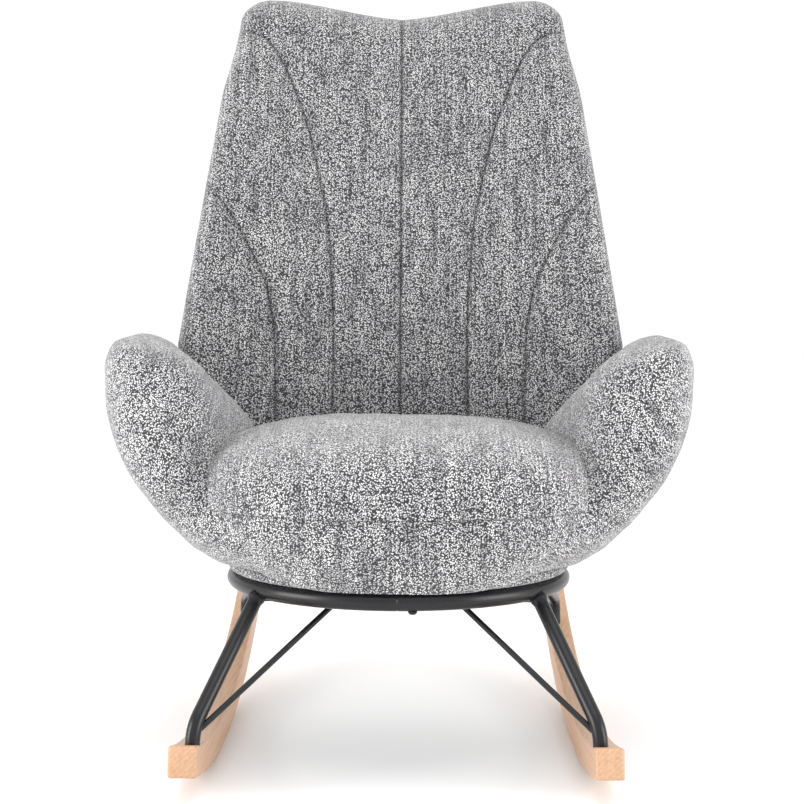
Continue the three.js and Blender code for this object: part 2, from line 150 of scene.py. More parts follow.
def stuffed(grid, cap):
    # pressure swells a coarse copy of the grid as cloth; the movement, less its mean and held under cap by the
    # hyperbolic tangent of its size over cap, is spread back over the fine grid by cubics
    rows, columns = grid.shape[:2]
    r = np.linspace(press["skip"], rows - 1 - press["skip"], press["rows"]).astype(int)
    c = np.linspace(0, columns, press["columns"], endpoint=False).astype(int)
    start = grid[np.ix_(r, c)]
    mesh = bpy.data.meshes.new("press")
    ends = np.stack([start[0].mean(0), start[-1].mean(0)])
    faces = gridFaces(len(r), len(c)).tolist() + fanFaces(len(r), len(c))
    mesh.from_pydata(np.concatenate([start.reshape(-1, 3), ends]).tolist(), [], faces)
    work = bmesh.new()
    work.from_mesh(mesh)
    bmesh.ops.recalc_face_normals(work, faces=work.faces)
    work.to_mesh(mesh)
    work.free()
    dummy = bpy.data.objects.new("press", mesh)
    scene = bpy.context.scene
    scene.collection.objects.link(dummy)
    cloth = dummy.modifiers.new("cloth", "CLOTH")
    cloth.settings.use_pressure = True
    cloth.settings.uniform_pressure_force = press["force"]
    cloth.settings.effector_weights.gravity = 0
    cloth.point_cache.frame_start, cloth.point_cache.frame_end = 1, press["frames"]
    for frameNumber in range(1, press["frames"] + 1):
        scene.frame_set(frameNumber)
    result = dummy.evaluated_get(bpy.context.evaluated_depsgraph_get()).to_mesh()
    moved = np.empty(len(result.vertices) * 3)
    result.vertices.foreach_get("co", moved)
    scene.frame_set(1)
    bpy.data.objects.remove(dummy)
    bpy.data.meshes.remove(mesh)
    shift = moved.reshape(-1, 3)[:start[..., 0].size].reshape(start.shape) - start
    shift = shift - shift.mean((0, 1))
    size = np.maximum(np.linalg.norm(shift, axis=-1, keepdims=True), 1e-9)
    shift = shift * cap * np.tanh(size / cap) / size
    print("stuffed: largest movement in mm", round(float(np.linalg.norm(shift, axis=-1).max()) * 1000, 1))
    byRow = through(r, shift, np.clip(np.arange(rows), r[0], r[-1]))
    around = np.concatenate([byRow, byRow[:, :1]], axis=1).swapaxes(0, 1)
    full = through(np.append(c, columns), around, np.arange(columns)).swapaxes(0, 1)
    fade = np.minimum(np.arange(rows), np.arange(rows)[::-1]) / (2 * press["skip"])
    fade = np.clip(fade, 0, 1)[:, None, None]
    return grid + full * fade + full.mean(1, keepdims=True) * (1 - fade)


def tubeAlong(path, radius, sides, reference):  # circles square to a path, their first spoke square to reference
    path = np.asarray(path, float)
    radius = np.broadcast_to(radius, len(path))
    ahead = unit(np.gradient(path, axis=0))
    side = unit(np.cross(ahead, reference))
    up = np.cross(side, ahead)
    angle = np.linspace(0, 2 * np.pi, sides, endpoint=False)[None, :, None]
    return path[:, None] + radius[:, None, None] * (np.cos(angle) * side[:, None] + np.sin(angle) * up[:, None])


class Wire:  # one output socket; sums, differences and products of wires add Math nodes
    def __init__(self, paint, socket):
        self.paint, self.socket = paint, socket

    def math(self, operation, *others):  # one Math node on this wire and any others
        return self.paint.add("ShaderNodeMath", {"operation": operation}, dict(enumerate((self, *others))))

    def __add__(self, other):
        return self.math("ADD", other)

    def __sub__(self, other):
        return self.math("SUBTRACT", other)

    def __rsub__(self, other):
        return self.paint.add("ShaderNodeMath", {"operation": "SUBTRACT"}, {0: other, 1: self})

    def __mul__(self, other):
        return self.math("MULTIPLY", other)

    __radd__ = __add__
    __rmul__ = __mul__

    def between(self, low, high):  # 0 at low, 1 at high, an S curve between
        return self.paint.add("ShaderNodeMapRange", {"interpolation_type": "SMOOTHSTEP"},
                              {"Value": self, "From Min": low, "From Max": high})


class Paint:  # one material and the only way that its nodes are made
    def __init__(self, name, **constants):
        self.material = bpy.data.materials.new(name)
        self.material.use_nodes = True
        self.tree = self.material.node_tree
        self.shader = self.tree.nodes["Principled BSDF"]
        for socket, value in constants.items():
            self.shader.inputs[socket.replace("_", " ")].default_value = value

    def add(self, kind, settings=None, inputs=None, output=0):  # a node with its settings, values and incoming wires
        node = self.tree.nodes.new(kind)
        for key, value in (settings or {}).items():
            if key == "stops":
                self.setStops(node.color_ramp, value)
            else:
                setattr(node, key, value)
        for key, value in (inputs or {}).items():
            if isinstance(value, Wire):
                self.tree.links.new(value.socket, node.inputs[key])
            else:
                node.inputs[key].default_value = value
        return Wire(self, node.outputs[output])

    def setStops(self, ramp, stops):  # a position and a colour for each stop of a colour ramp
        for _ in stops[2:]:
            ramp.elements.new(0.5)
        for element, (position, colour) in zip(ramp.elements, stops):
            element.position = position
            element.color = (*colour, 1)

    def feed(self, **wires):  # wires into the shader, then hands the material over
        for socket, wire in wires.items():
            self.tree.links.new(wire.socket, self.shader.inputs[socket.replace("_", " ")])
        return self.material

    def place(self, scale, turn=(0, 0, 0)):  # object coordinates, turned and then counted in units of a pattern
        spot = self.add("ShaderNodeTexCoord", output="Object")
        turned = self.add("ShaderNodeMapping", {"vector_type": "POINT"}, {"Vector": spot, "Rotation": turn})
        return self.add("ShaderNodeVectorMath", {"operation": "MULTIPLY"}, {0: turned, 1: scale})

    def noise(self, spot, detail=2):  # cloudy noise round 0.5
        return self.add("ShaderNodeTexNoise", None,
                        {"Vector": spot, "Scale": 1, "Detail": detail, "Roughness": 0.5})

    def blend(self, factor, first, second):  # from the first colour at factor 0 to the second at 1
        sockets = {0: factor, 6: first, 7: second}
        return self.add("ShaderNodeMix", {"data_type": "RGBA"}, sockets, output=2)

    def bump(self, height, strength, distance):  # tilts the surface normal by the slope of height
        return self.add("ShaderNodeBump", None, {"Height": height, "Strength": strength, "Distance": distance})


weave = {
    "nubWidth": 0.0020, "nubLength": 0.0019,  # one loop of yarn
    "streakWidth": 0.0085, "streakLength": 0.070,  # runs of lighter and darker yarn
    "ribWidth": 0.0052,
    "randomness": 0.95,  # how unevenly the loops lie
    "hollowFrom": 0.21, "hollowTo": 0.59,  # where the painted shade in the gaps between loops starts and ends
    "patches": 14, "fibres": 900,  # counts to the metre
    "bumpDepth": 0.0011,
    # dark: the colour of the painted shade in the gaps between loops and in the seams
    "dark": (0.012, 0.012, 0.014), "mid": (0.46, 0.453, 0.47),
    "light": (0.84, 0.832, 0.85), "white": (0.995, 0.99, 0.985),
}


def wovenFabric(name, turn=(0, 0, 0), shade=1.0):
    # loops of yarn as cells, their brightness a sum of cell, streak and patch; painted shade between loops, in seams
    # and, with shade under 1, all over
    paint = Paint(name, Roughness=0.95, Sheen_Weight=0.42, Sheen_Roughness=0.5, Specular_IOR_Level=0.2)
    across, along = 1 / weave["nubWidth"], 1 / weave["nubLength"]
    spot = paint.place((across, along, along), turn)
    cells = {"Vector": spot, "Scale": 1.0, "Randomness": weave["randomness"]}
    distance = paint.add("ShaderNodeTexVoronoi", None, cells, output="Distance")
    cellColour = paint.add("ShaderNodeTexVoronoi", None, cells, output="Color")
    pick = paint.add("ShaderNodeSeparateColor", None, {0: cellColour})
    streakAcross, streakAlong = 1 / weave["streakWidth"], 1 / weave["streakLength"]
    streakSpot = paint.place((streakAcross, streakAlong, streakAlong), turn)
    streak = paint.noise(streakSpot, detail=3)
    patch = paint.noise(paint.place((weave["patches"],) * 3), detail=2)
    ribSpot = paint.place((2 * np.pi / weave["ribWidth"],) * 3, turn)
    ribX = paint.add("ShaderNodeSeparateXYZ", None, {0: ribSpot})
    rib = ribX.math("COSINE")
    yarn = pick * 0.55 + (streak - 0.5) * 2.2 + (patch - 0.5) * 0.6 + 0.22
    tone = paint.add("ShaderNodeValToRGB", {"stops": [
        (0.08, weave["mid"]), (0.48, weave["light"]), (0.66, weave["light"]), (0.84, weave["white"])]}, {0: yarn})
    # painted shade: the gaps between loops are darkened, as if shaded
    hollow = (distance + rib * -0.03).between(weave["hollowFrom"], weave["hollowTo"])
    # painted shade along the seams, read from the piece's seam attribute
    crease = paint.add("ShaderNodeAttribute", {"attribute_name": "crease"}, output="Fac")
    # a shade below 1 darkens the whole cloth: painted shade, as if it caught less light
    shadow = 1 - (1 - hollow * 0.97) * (1 - crease * 0.7) * shade
    colour = paint.blend(shadow, tone, (*weave["dark"], 1))
    height = (1 - distance) * (0.55 + pick * 0.45) + rib * 0.08
    fibre = paint.noise(paint.place((weave["fibres"],) * 3), detail=3)
    normal = paint.bump(height + fibre * 0.25, 0.9, weave["bumpDepth"])
    return paint.feed(Base_Color=colour, Normal=normal)


def blackCoat(name, roughness=0.27):  # near-black paint with a fine dimpled skin and cloudy gloss
    paint = Paint(name, Specular_IOR_Level=0.32)
    orangePeel = paint.noise(paint.place((900, 900, 900)), detail=2)
    cloud = paint.noise(paint.place((30, 30, 30)), detail=3)
    colour = paint.blend(cloud, (0.008, 0.008, 0.009, 1), (0.016, 0.016, 0.018, 1))
    return paint.feed(Base_Color=colour, Roughness=roughness + (cloud - 0.5) * 0.12,
                      Normal=paint.bump(orangePeel, 0.15, 0.0004))


beech = {
    "pale": (0.59, 0.365, 0.230), "deep": (0.44, 0.238, 0.124), "fleck": (0.36, 0.18, 0.09),
    "grainLength": 0.13, "grainWidth": 0.0035, "fleckLength": 0.0045, "fleckWidth": 0.0007,
    "ringGap": 0.0046, "ringTilt": 0.7,  # growth rings, seen as slanting lines on the sawn ends
}


def beechWood(name):  # long grain, board tone and growth rings added up, with short dark flecks over them
    paint = Paint(name, Coat_Weight=0.15, Coat_Roughness=0.35)
    grainAcross, grainAlong = 1 / beech["grainWidth"], 1 / beech["grainLength"]
    grain = paint.noise(paint.place((grainAcross, grainAlong, grainAcross)), detail=4)
    board = paint.noise(paint.place((16, 2.2, 16)), detail=2)
    fleckAcross, fleckAlong = 1 / beech["fleckWidth"], 1 / beech["fleckLength"]
    flecks = paint.noise(paint.place((fleckAcross, fleckAlong, fleckAcross)), detail=1)
    fleckMask = flecks.between(0.62, 0.74)
    tilted = paint.place((1, 1, 1), (0, beech["ringTilt"], 0))
    across = paint.add("ShaderNodeSeparateXYZ", None, {0: tilted}, output="Z")
    wander = paint.noise(paint.place((22, 3, 22)), detail=1)
    rings = (across * (2 * np.pi / beech["ringGap"]) + wander * 9).math("SINE").between(-0.2, 1.0)
    tone = (grain * 0.6 + board * 0.45 + rings * 0.10).between(0.32, 0.90)
    base = paint.blend(tone, (*beech["pale"], 1), (*beech["deep"], 1))
    colour = paint.blend(fleckMask * 0.45, base, (*beech["fleck"], 1))
    return paint.feed(Base_Color=colour, Roughness=0.42 + grain * 0.15,
                      Normal=paint.bump(grain + fleckMask * 0.5, 0.12, 0.0006))


def zincPlate(name):  # pale metal with cloudy brightness and gloss
    paint = Paint(name, Metallic=0.9)
    cloud = paint.noise(paint.place((220, 220, 220)), detail=3)
    colour = paint.blend(cloud, (0.50, 0.51, 0.52, 1), (0.68, 0.68, 0.67, 1))
    return paint.feed(Base_Color=colour, Roughness=0.28 + cloud * 0.2)


def plyBoard(name):  # grain along Y, with layers as a sine of height
    paint = Paint(name)
    layers = paint.add("ShaderNodeSeparateXYZ", None, {0: paint.place((2500, 2500, 2500))}, output="Z")
    grain = paint.noise(paint.place((300, 14, 60)), detail=3)
    ply = layers.math("SINE").between(-0.3, 0.3)
    base = paint.blend(grain, (0.72, 0.54, 0.34, 1), (0.56, 0.38, 0.22, 1))
    colour = paint.blend(ply * 0.35, base, (0.36, 0.22, 0.12, 1))
    return paint.feed(Base_Color=colour, Roughness=0.6 + grain * 0.2)


def liningCloth(name):  # a fine web: the product of two sines
    paint = Paint(name, Roughness=0.9, Sheen_Weight=0.2)
    spot = paint.place((1400, 1400, 1400))
    x = paint.add("ShaderNodeSeparateXYZ", None, {0: spot}, output="X").math("SINE")
    y = paint.add("ShaderNodeSeparateXYZ", None, {0: spot}, output="Y").math("SINE")
    web = x * y
    colour = paint.blend(web.between(-0.6, 0.6), (0.010, 0.010, 0.012, 1), (0.035, 0.035, 0.038, 1))
    return paint.feed(Base_Color=colour, Normal=paint.bump(web, 0.3, 0.0003))


# the back's cloth is a darker copy of the seat's: painted shade, as if it caught less light
fabricBackShaded = wovenFabric("wovenFabricBackShaded", shade=0.78)
fabricSeat = wovenFabric("wovenFabricSeat")
fabricArmLeft = wovenFabric("wovenFabricArmLeft", (0, 0.62, 0.35))
fabricArmRight = wovenFabric("wovenFabricArmRight", (0, -0.62, -0.35))
blackSteel = blackCoat("satinBlackCoat")
rockerWood = beechWood("beechWood")
zinc = zincPlate("zincPlate")
plywood = plyBoard("birchPlywood")
lining = liningCloth("liningCloth")
print("finishes made")


back = {
    "lowY": 0.152, "bottom": 0.246,
    "dip": 0.966, "lobe": 0.991,  # heights of the top edge at its middle and its lobes
    "padDepth": 0.042, "coverDepth": 0.0236, "gap": 0.0004,
    "wrap": 0.042,  # how far the sides come forward
    "frontRound": 0.040, "rearRound": 0.020,
    "puff": 0.0080, "puffReach": 0.020, "groove": 0.0032, "grooveWidth": 0.0024,
    "columns": 281, "rows": 171,
}
# runs of points in the front view, for one side; the other side is their mirror image
innerSeam = [(0.222, 0.940), (0.206, 0.936), (0.187, 0.925), (0.168, 0.897), (0.153, 0.864), (0.137, 0.822),
             (0.125, 0.784), (0.108, 0.708), (0.100, 0.664), (0.096, 0.620), (0.092, 0.563), (0.090, 0.480),
             (0.092, 0.413), (0.093, 0.250)]
outerSeam = [(0.268, 0.724), (0.240, 0.692), (0.222, 0.664), (0.206, 0.634), (0.190, 0.602), (0.180, 0.575),
             (0.175, 0.550), (0.171, 0.525), (0.167, 0.419), (0.165, 0.250)]


def backMiddle(z):  # front face at the middle: upright behind the cushion, then leaning back
    above = np.maximum(z - 0.340, 0)
    lean = np.where(above < 0.120, 0.75 * above ** 2, 0.18 * (above - 0.060))
    return back["lowY"] + lean + 0.2 * np.maximum(z - 0.400, 0) ** 2


def backHalfWidth(z):  # narrows by a power below 0.5, and in a straight line with a small S above it
    low = 0.300 - 0.120 * (np.maximum(0.500 - z, 0) / 0.254) ** 1.5
    return np.where(z > 0.500, 0.301 - 0.143 * (z - 0.500) - 0.007 * smoothStep(z, 0.840, 0.930), low)


def backTop(u):
    # the dip plus a climb to each lobe, half a straight line and half an S, less a cube near the corners
    side = np.abs(u)
    climb = np.minimum(side / 0.78, 1)
    lobe = (climb + climb * climb * (3 - 2 * climb)) / 2
    return back["dip"] + (back["lobe"] - back["dip"]) * lobe - 0.012 * (np.maximum(side - 0.84, 0) / 0.16) ** 3


def backOutline(u, v, inset):
    # straight rows between a rounded bottom edge and the two lobes, drawn in by powers of v at all corners
    low = back["bottom"] + inset + 0.035 * np.abs(u) ** 4
    z = low + v * (backTop(u) - inset - low)
    drawnTop = 0.055 * (np.maximum(v - 0.965, 0) / 0.035) ** 3
    drawnLow = 0.070 * (np.maximum(0.07 - v, 0) / 0.07) ** 2
    narrowing = 1 - drawnTop - drawnLow
    return u * (backHalfWidth(z) - inset) * narrowing, z


def backSheet(columns, rows):  # u runs across and v up, both closer together towards the edges
    theta = np.linspace(-1, 1, columns)
    u = 0.45 * np.sin(theta * np.pi / 2) + 0.55 * theta
    phi = np.linspace(0, 1, rows)
    v = 0.6 * np.sin(phi * np.pi / 2) + 0.4 * phi
    return np.meshgrid(v, u, indexing="ij")[::-1]


def roundedIn(distance, radius):  # a quarter circle: 0 at the edge, 1 from radius inwards
    return np.sqrt(np.maximum(1 - np.maximum(1 - distance / radius, 0) ** 2, 0))


def seamDistance(x, z, seam):  # least distance from each point to a run of straight pieces
    ends = np.array(seam)
    fine = through(np.arange(len(ends)), ends, np.linspace(0, len(ends) - 1, 60))
    start, step = fine[:-1], np.diff(fine, axis=0)
    spot = np.stack([x.ravel(), z.ravel()], -1)[:, None]
    t = np.clip(((spot - start) * step).sum(-1) / (step ** 2).sum(-1), 0, 1)
    return np.sqrt((((start + t[..., None] * step) - spot) ** 2).sum(-1)).min(1).reshape(x.shape)


def nearestSeam(x, z):  # the least of the distances to the middle, inner and outer seams
    side = np.abs(x)
    return np.minimum(np.minimum(side, seamDistance(side, z, innerSeam)), seamDistance(side, z, outerSeam))


def channelDepth(nearest):  # how far the padding stands out: full between seams, with a stitched groove on them
    full = 1 - np.exp(-nearest / back["puffReach"])
    return back["puff"] * full - back["groove"] * np.exp(-(nearest / back["grooveWidth"]) ** 2)


def backBase(x, z):  # the middle, brought forward by the square of the share of the half width
    wrapped = back["wrap"] * (x / backHalfWidth(z)) ** 2 * smoothStep(z, 0.240, 0.420)
    return backMiddle(z) - wrapped


def edgeRounding(u, v, z, radius):  # the quarter circle from the side times the one from the top
    fromSide = (1 - np.abs(u)) * backHalfWidth(z)
    fromTop = (1 - v) * (back["lobe"] - back["bottom"])
    return roundedIn(fromSide, radius) * roundedIn(fromTop, radius)


def makeBackPad():  # a front sheet puffed between its seams, joined round its edge to a plain sheet behind
    u, v = backSheet(back["columns"], back["rows"])
    x, z = backOutline(u, v, 0)
    behindY = backBase(x, z) + back["padDepth"] - 0.001
    full = edgeRounding(u, v, z, back["frontRound"])
    nearest = nearestSeam(x, z)
    pucker = 0.0008 * waves(x, 0, z, 0.028, 4) * np.exp(-nearest / 0.018)
    stand = channelDepth(nearest) + 0.0014 * waves(x, 0, z, 0.09, 3) + pucker
    frontY = behindY - full * (back["padDepth"] - 0.005 + stand)
    front = np.stack([x, frontY, z], -1)
    behind = np.stack([x, behindY, z], -1)
    # painted shade along the seams of the back
    crease = np.exp(-(nearest / 0.0014) ** 2)
    grid = np.concatenate([front, behind[:, ::-1]], axis=1)
    marks = np.concatenate([crease, 0 * crease], axis=1)
    piece = addPiece("backPad", grid, fabricBackShaded, ["back_pad"], "zip", marks)


def makeBackCover():  # a rear sheet rounded at its edge, joined to a plain sheet in front
    u, v = backSheet(121, 121)
    x, z = backOutline(u, v, 0.0008)
    frontY = backBase(x, z) + back["padDepth"] - 0.001 + back["gap"]
    full = edgeRounding(u, v, z, back["rearRound"])
    rearY = frontY + full * (back["coverDepth"] + 0.0015 * waves(x, 0, z, 0.14, 5))
    rear = np.stack([x, rearY, z], -1)
    inner = np.stack([x, frontY, z], -1)
    grid = np.concatenate([rear, inner[:, ::-1]], axis=1)
    piece = addPiece("backCover", grid, fabricBackShaded, ["back_cover"], "zip")


makeBackPad()
makeBackCover()
print("back made")


arm = {"cap": 0.005, "frontLow": -0.190, "frontTop": -0.104, "rearLow": 0.145, "rearTop": 0.180, "corner": 2.5}
# share of the way up an arm, then x and z of its outer and inner lines in the front view
armOuter = [(0.00, 0.200, 0.2395), (0.08, 0.226, 0.2450), (0.18, 0.255, 0.2640), (0.30, 0.287, 0.2960),
            (0.44, 0.321, 0.3410), (0.58, 0.347, 0.3860), (0.70, 0.362, 0.4300), (0.80, 0.367, 0.4700),
            (0.89, 0.369, 0.5050), (0.95, 0.365, 0.5200), (1.00, 0.355, 0.5265)]
armInner = [(0.00, 0.150, 0.2410), (0.08, 0.152, 0.2600), (0.18, 0.164, 0.2900), (0.30, 0.190, 0.3340),
            (0.44, 0.208, 0.3700), (0.58, 0.217, 0.4000), (0.70, 0.222, 0.4280), (0.80, 0.230, 0.4560),
            (0.89, 0.246, 0.4830), (0.95, 0.270, 0.5010), (1.00, 0.300, 0.5120)]
bowlFront = [(0.235, 0.214), (0.255, 0.228), (0.275, 0.238), (0.300, 0.234), (0.330, 0.205), (0.370, 0.178),
             (0.420, 0.150)]  # height and reach forward


def column(table, k):  # one column of a table, or a slice of them
    return np.array([row[k] for row in table])


def bowlSize(z):  # half width and front reach of one round bowl that the lower arms and the seat's front share
    reach = through(column(bowlFront, 0), column(bowlFront, 1), np.clip(z, 0.235, 0.420))
    return np.interp(z, column(armOuter, 2), column(armOuter, 1)), reach


def bowlY(x, z):  # front of the bowl: its reach times a superellipse of the share of the half width
    outer, reach = bowlSize(z)
    return -reach * np.clip(1 - (np.abs(x) / outer) ** 2.1, 0, 1) ** (1 / 2.1)


def armGrid(rows, columns):
    # each row is a superellipse whose width runs from the inner line to the outer line in the front view
    t = 1 - (1 - np.linspace(0, 1, rows)) ** 1.35
    outer = through(column(armOuter, 0), column(armOuter, slice(1, 3)), t)
    inner = through(column(armInner, 0), column(armInner, slice(1, 3)), t)
    tip = np.clip(1 - (np.maximum(t - 0.84, 0) / 0.16) ** 3.2, 0, 1) ** (1 / 3.2)
    middle, half = (outer + inner) / 2, (outer - inner) / 2 * tip[:, None]
    low = 1 - smoothStep(t, 0.16, 0.52)
    front = arm["frontLow"] + (arm["frontTop"] - arm["frontLow"]) * t ** 1.3
    rear = arm["rearLow"] + (arm["rearTop"] - arm["rearLow"]) * smoothStep(t, 0, 0.6)
    middleY = (front + rear) / 2 * (1 - low)
    frontHalf, rearHalf = (middleY - front) * tip, (rear - middleY) * tip
    angle = np.linspace(0, 2 * np.pi, columns, endpoint=False)
    across, along = roundedPair(angle, arm["corner"])
    xz = middle[:, None] + half[:, None] * across[None, :, None]
    x, z = xz[..., 0], xz[..., 1]
    petalY = middleY[:, None] + np.where(along < 0, frontHalf[:, None] * along, rearHalf[:, None] * along)
    innerFade = smoothStep(across, -1.0, -0.7)[None]
    y = np.where(along[None] < 0, petalY + (bowlY(x, z) * innerFade - petalY) * low[:, None], petalY)
    backward = smoothStep(y, -0.09, 0.14) * smoothStep(-across, -0.4, 0.6)[None]
    roomy = np.clip(np.linalg.norm(half, axis=1) / 0.066, 0, 1)[:, None] ** 2
    x = x + backward * 0.8 * (z - 0.436) * smoothStep(z, 0.30, 0.42) * roomy
    grid = np.stack([x, y, z], -1)
    outward = grid - np.stack([middle[:, 0], middleY, middle[:, 1]], -1)[:, None]
    outward = outward / np.maximum(np.linalg.norm(outward, axis=-1, keepdims=True), 1e-6)
    spots = np.moveaxis(grid, -1, 0)
    uneven = 0.0020 * waves(*spots, 0.09, 7) + 0.0009 * waves(*spots, 0.035, 8)
    grid = grid + outward * uneven[..., None]
    return stuffed(grid, arm["cap"])


armPoints = armGrid(120, 160)
armLeft = addPiece("armLeft", armPoints, fabricArmLeft, ["arm_pad_left"])
armRight = addPiece("armRight", armPoints * [-1, 1, 1], fabricArmRight, ["arm_pad_right"])
print("arms made")


seat = {
    "halfWidth": 0.261, "front": 0.250, "rear": 0.150, "corner": 2.35, "rearCorner": 4.0, "top": 0.4290,
    "droop": 0.014,  # how far the front hangs over the ring
    "cap": 0.006,  # most that stuffing may move the fabric
    "seamZ": 0.312, "seamRise": 0.050,  # where the boxing meets the base, and how far that climbs to the sides
    "seamDepth": 0.0009, "seamShade": 0.16,
}


def seatOutline(angle, share):  # plan outline: deep round front, flatter and narrower behind
    pairs = roundedPair(angle, seat["corner"]), roundedPair(angle, seat["rearCorner"])
    sideways, along = np.where(np.sin(angle) < 0, *pairs)
    reach = np.where(along < 0, seat["front"], seat["rear"])
    narrowing = 1 - 0.06 * np.maximum(along, 0)
    return sideways * seat["halfWidth"] * share * narrowing, along * reach * share


# from the middle of the underside to the widest line: run, height and share of the plan
seatSide = [(0.00, 0.2395, 0.000), (0.10, 0.2395, 0.600), (0.16, 0.2395, 0.845), (0.19, 0.2400, 0.868),
            (0.22, 0.2440, 0.890), (0.27, 0.2560, 0.930), (0.33, 0.2760, 0.970), (0.39, 0.3000, 0.992),
            (0.45, 0.3250, 1.000)]


def seatGrid(rows, columns):
    # rows run from the middle of the underside out to the widest line by table, then in over the top as a
    # superellipse; low down the plan becomes the bowl that the arms share
    run = np.linspace(0, 1, rows)
    under = through(column(seatSide, 0), column(seatSide, slice(1, 3)), np.minimum(run, 0.45))
    turn = np.clip((run - 0.45) / 0.55, 0, 1) * np.pi / 2
    rise, spread = roundedPair(np.pi / 2 - turn, 2.6)
    widestZ = seatSide[-1][1]
    z = np.where(run > 0.45, widestZ + spread * (seat["top"] - widestZ), under[:, 0])[:, None]
    share = np.where(run > 0.45, rise, under[:, 1])[:, None]
    angle = np.linspace(0, 2 * np.pi, columns, endpoint=False)[None]
    x, y = seatOutline(angle, share)
    z = z + 0 * angle
    outer, reach = bowlSize(z)
    low = 1 - smoothStep(z, 0.255, 0.305)
    sideways, along = roundedPair(angle, 2.1)
    within = np.minimum(share / 0.868, 1)
    bowlX = sideways * outer * within
    # just over the arms at the front, just under them at the sides
    proud = 1 + 0.010 * (1 - (bowlX / 0.205) ** 2)
    x = x + (bowlX * proud - x) * low
    y = np.where(along < 0, y + (along * reach * within * proud - y) * low, y)
    lip = smoothStep(share, 0.84, 0.86) * (1 - smoothStep(z, 0.240, 0.290)) * smoothStep(-y, 0.130, 0.205)
    z = z - seat["droop"] * lip
    y = y - 0.012 * smoothStep(z, 0.30, 0.42)
    z = z - 0.004 * np.exp(-(x / 0.030) ** 2) * smoothStep(y, 0.02, 0.10) * smoothStep(z, 0.36, 0.40)
    uneven = 0.0026 * waves(x, y, z, 0.075, 11) + 0.0012 * waves(x, y, z, 0.030, 12)
    z = z + uneven * smoothStep(z, 0.30, 0.38)
    x, y, z = np.moveaxis(stuffed(np.stack([x, y, z], -1), seat["cap"]), -1, 0)
    offSeam = (z - seat["seamZ"] - seat["seamRise"] * (x / seat["halfWidth"]) ** 2) * np.ones_like(x)
    around = smoothStep(-y, -0.02, 0.10)
    pull = seat["seamDepth"] * np.exp(-(offSeam / 0.0040) ** 2) * around
    inward = 1 - pull / np.maximum(np.hypot(x, y), 0.1)
    # painted shade along the seam where the boxing meets the base
    crease = seat["seamShade"] * np.exp(-(offSeam / 0.0016) ** 2) * around
    return np.stack([x * inward, y * inward, z], -1), crease


seatPoints, seatCreaseShade = seatGrid(260, 300)
seatCushion = addPiece("seatCushion", seatPoints, fabricSeat, ["seat_cushion"],
                       crease=seatCreaseShade)
print("seat made")


boardWrap = {"radius": 0.2141, "halfThick": 0.0067, "z": 0.2373}


def makeBoardWrap():
    # a flat disc with a half-round edge, from the middle of its top round to the middle of its underside
    angle = np.linspace(0, 2 * np.pi, 200, endpoint=False)
    turn = np.linspace(np.pi / 2, -np.pi / 2, 13)
    flat = boardWrap["radius"] - boardWrap["halfThick"]
    inside = np.linspace(0.02, flat, 12)[:-1]
    radius = np.concatenate([inside, flat + boardWrap["halfThick"] * np.cos(turn), inside[::-1]])
    height = boardWrap["halfThick"] * np.concatenate([0 * inside + 1, np.sin(turn), 0 * inside - 1])
    x, y = radius[:, None] * np.sin(angle), -radius[:, None] * np.cos(angle)
    z = boardWrap["z"] + height[:, None] + 0 * x
    addPiece("seatBoardWrap", np.stack([x, y, z], -1), fabricSeat, ["seat_board"])


makeBoardWrap()
print("seat board made")


frameTube = {"ring": 0.205, "ringTube": 0.0105, "ringZ": 0.220,
             "leg": 0.00875, "bendReach": 0.020, "jointDegrees": 53.5,
             "bar": 0.007, "barZ": 0.213, "rod": 0.0035, "rodBarX": 0.066, "rodLegZ": 0.071}
frontFoot = {"x": 0.233, "y": -0.236, "bendZ": 0.079}
rearFoot = {"x": 0.2275, "y": 0.403, "bendZ": 0.120}
rocker = {"radius": 1.444, "lowY": 0.031, "front": -0.276, "rear": 0.566, "thick": 0.0356, "wide": 0.0327,
          "frontX": 0.2405, "toeIn": 0.0087, "edge": 0.0032}


def arcZ(y):
    # underside of a rocker: its radius less the root of the radius squared less the run squared
    return rocker["radius"] - np.sqrt(rocker["radius"] ** 2 - (y - rocker["lowY"]) ** 2)


def onRing(degrees):  # on the ring's centre line: sine and minus cosine of the angle from the front
    angle = np.radians(degrees)
    return np.array([frameTube["ring"] * np.sin(angle), -frameTube["ring"] * np.cos(angle), frameTube["ringZ"]])


def makeRing():  # a circle of tube with a fine closed joint at the front
    near = np.linspace(-0.02, 0.02, 25)
    angle = np.concatenate([near, np.linspace(0.02, 2 * np.pi - 0.02, 190)[1:-1]])
    path = np.stack([np.sin(angle), -np.cos(angle), 0 * angle], -1) * frameTube["ring"]
    out = unit(path)
    path = path + [0, 0, frameTube["ringZ"]]
    tube = frameTube["ringTube"] - 0.0007 * np.exp(-(angle * frameTube["ring"] / 0.0005) ** 2)
    spokes = np.linspace(0, 2 * np.pi, 32, endpoint=False)[None, :, None]
    upward = np.sin(spokes) * np.array([0, 0, 1.0])
    grid = path[:, None] + tube[:, None, None] * (np.cos(spokes) * out[:, None] + upward)
    addPiece("seatRing", grid, blackSteel, ["seat_ring"], ends="loop")


def legPath(jointDegrees, foot, side):  # straight from the ring, a quadratic curve round the bend, straight down
    top = onRing(jointDegrees) * [side, 1, 1]
    bend = np.array([side * foot["x"], foot["y"], foot["bendZ"]])
    floor = np.array([side * foot["x"], foot["y"], arcZ(foot["y"]) + rocker["thick"] * 0.96])
    before = bend + unit(top - bend) * frameTube["bendReach"]
    after = bend + unit(floor - bend) * frameTube["bendReach"]
    t = np.linspace(0, 1, 24)[:, None]
    curve = (1 - t) ** 2 * before + 2 * t * (1 - t) * bend + t ** 2 * after
    upper = top + (before - top) * (np.linspace(0, 1, 40)[:-1, None] ** 1.4)
    lower = after + (floor - after) * np.linspace(0, 1, 8)[1:, None]
    return np.concatenate([upper, curve, lower])


